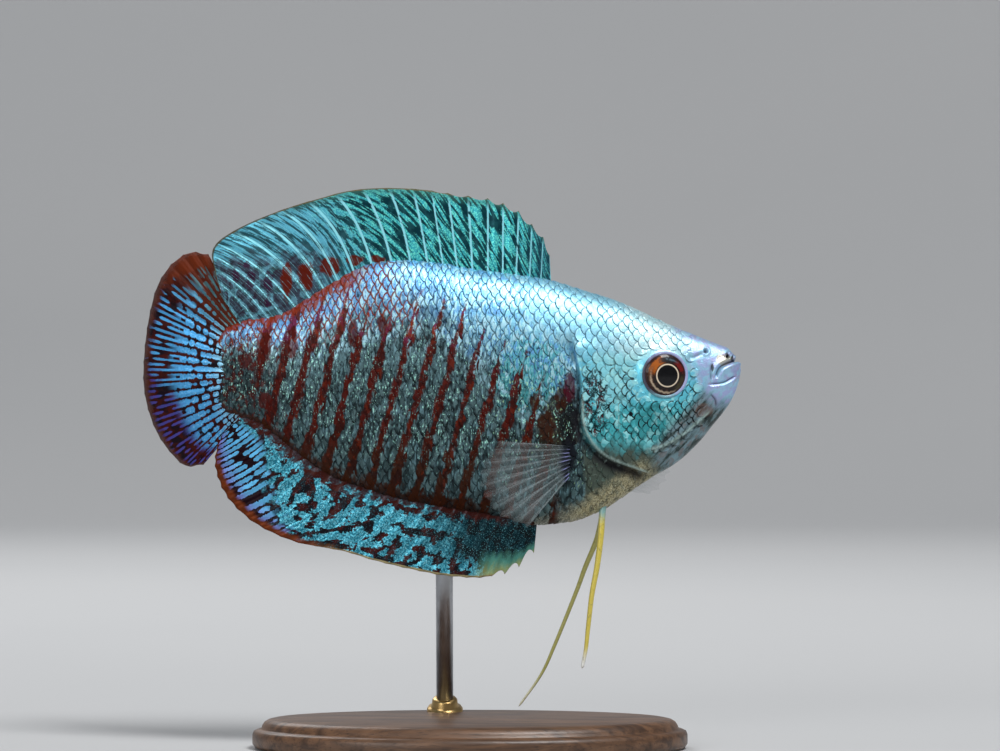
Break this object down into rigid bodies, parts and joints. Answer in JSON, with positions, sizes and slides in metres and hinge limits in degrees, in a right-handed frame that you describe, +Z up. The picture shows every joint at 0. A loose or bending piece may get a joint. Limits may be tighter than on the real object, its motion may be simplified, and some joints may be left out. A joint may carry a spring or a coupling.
{
  "type": "dwarf gourami",
  "caption": "Life-size still model of a male dwarf gourami, deep flat body, rayed fins and two thread-like pelvic feelers, held over a flat oval base by one rod",
  "frame": {"origin": "middle of the oval base's underside", "axes": "+X towards the fish's head, +Y to its left, +Z up"},
  "size_m": [0.0805, 0.036, 0.0747],
  "materials": {
    "skin": "scaled skin, powder blue to turquoise with narrow dark red bars, wet gloss",
    "eye": "clear polished eye, dark brown iris with a thin cream ring round a black pupil",
    "blue_fin": "thin rayed membrane, turquoise with dark and red marks",
    "red_fin": "thin rayed membrane, maroon with pale blue dashes along the rays and a broad red rim",
    "clear_fin": "thin, nearly clear rayed membrane",
    "feeler": "smooth yellow thread, paler at the tip",
    "rod": "satin",
    "base": "dark oiled walnut, satin"
  },
  "bodies": {
    "root": {"head": "skin", "lower_jaw": "skin", "torso": "skin", "tail_stem": "skin", "eye_right": "eye", "eye_left": "eye", "dorsal_fin": "blue_fin", "anal_fin": "blue_fin", "caudal_fin": "red_fin", "pectoral_fin_right": "clear_fin", "pectoral_fin_left": "clear_fin", "pelvic_feeler_right": "feeler", "pelvic_feeler_left": "feeler", "stand_rod": "rod", "stand_base": "base"}
  },
  "joints": []
}
